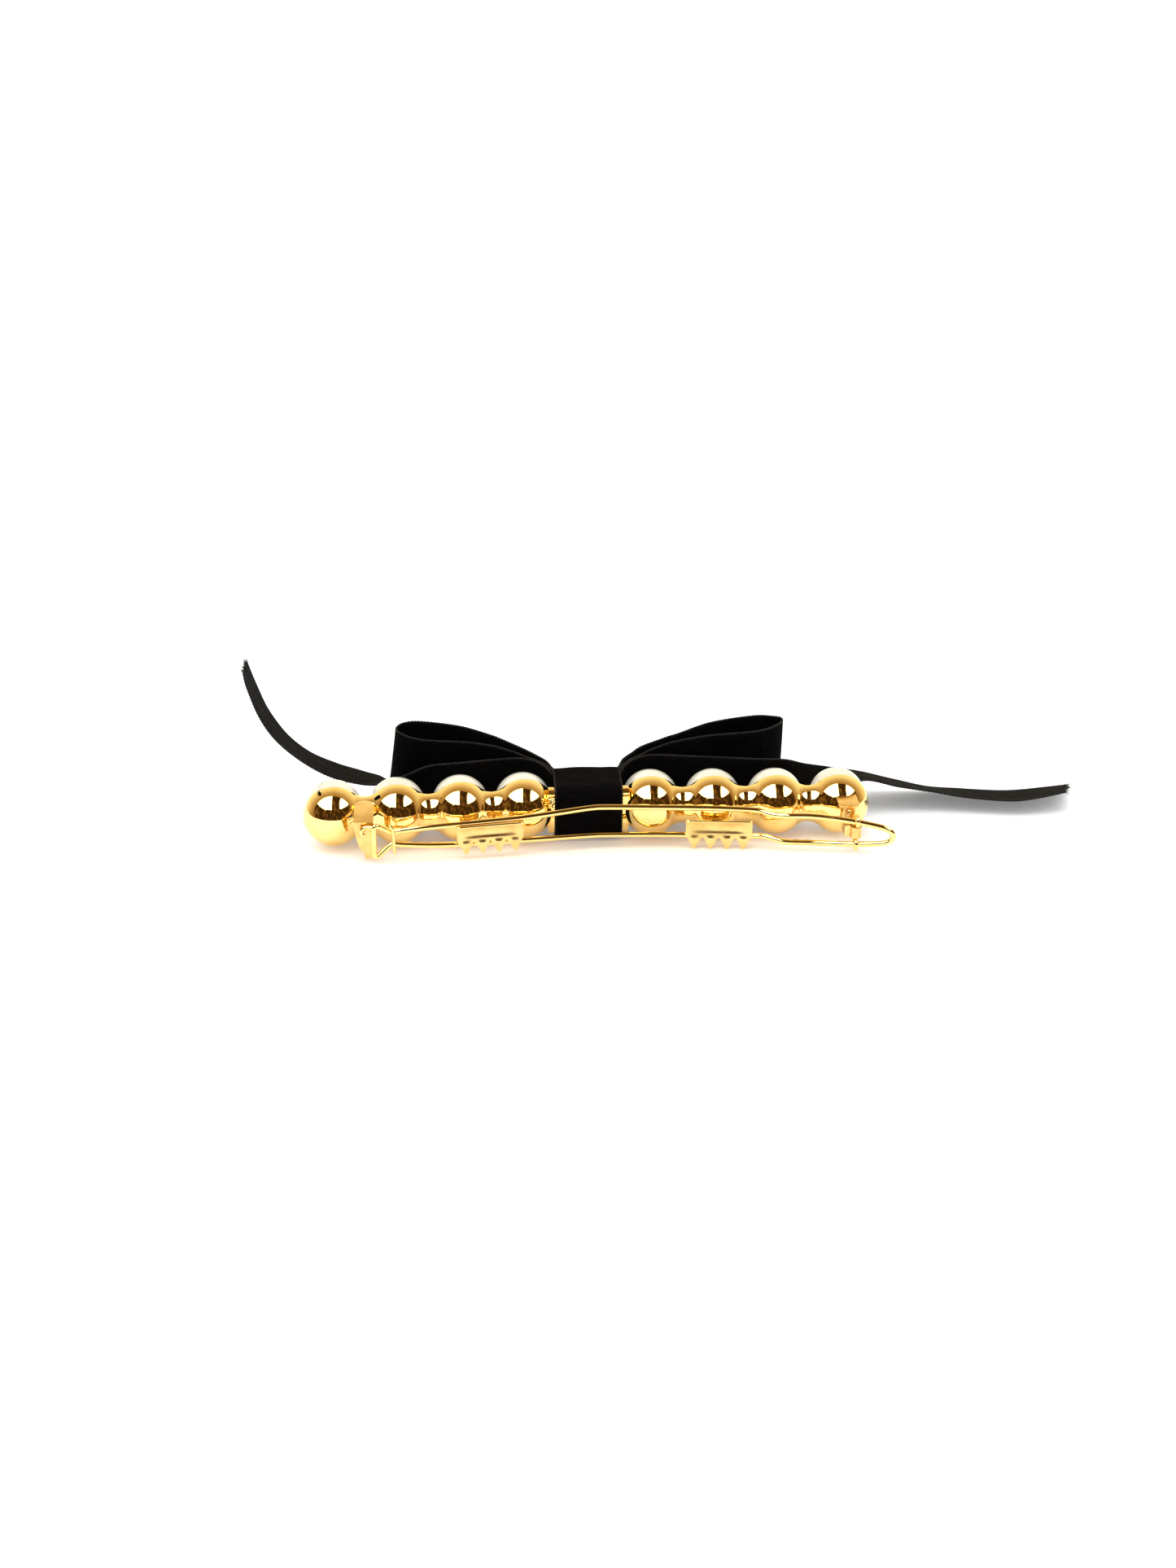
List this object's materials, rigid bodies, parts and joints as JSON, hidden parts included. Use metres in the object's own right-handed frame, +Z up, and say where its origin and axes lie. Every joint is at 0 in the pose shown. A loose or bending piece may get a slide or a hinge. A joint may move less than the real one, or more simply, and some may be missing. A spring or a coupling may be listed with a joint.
{
  "type": "barrette",
  "caption": "Hair barrette: a row of gold cups set with pearls, a black velvet ribbon bow bound to its middle, and a hinged wire arm with small comb plates behind.",
  "frame": {"origin": "the middle of the hair gap, between the bound bridge of the row and the arm, half way along the row and half way across it", "axes": "+X along the row of cups, towards the hinge; +Y to the pearl side; +Z up, with the barrette standing on its long edge as on a table, leaning back 10 degrees"},
  "size_m": [0.1247, 0.0306, 0.0242],
  "materials": {
    "gold": "bright polished gold plate",
    "pearl": "ivory pearl lustre",
    "velvet": "black velvet ribbon with a woven edge"
  },
  "bodies": {
    "row": {"cup_casting": "gold", "pearl_1": "pearl", "pearl_2": "pearl", "pearl_3": "pearl", "pearl_4": "pearl", "pearl_5": "pearl", "pearl_6": "pearl", "pearl_7": "pearl", "pearl_8": "pearl", "catch_bracket": "gold", "hinge_bracket": "gold", "bow_knot": "velvet", "bow_loop_left": "velvet", "bow_loop_right": "velvet", "tail_left": "velvet", "tail_right": "velvet", "center_band": "velvet"},
    "arm": {"arm_frame": "gold", "comb_left": "gold", "comb_right": "gold", "cross_pin": "gold", "hinge_pin": "gold"}
  },
  "joints": [
    {"name": "arm_hinge", "type": "hinge", "parent": "row", "child": "arm", "pos_m": [0.038, -0.00562, -0.00098], "axis": [0, -0.1724, 0.985], "range_deg": [0, 65]}
  ]
}
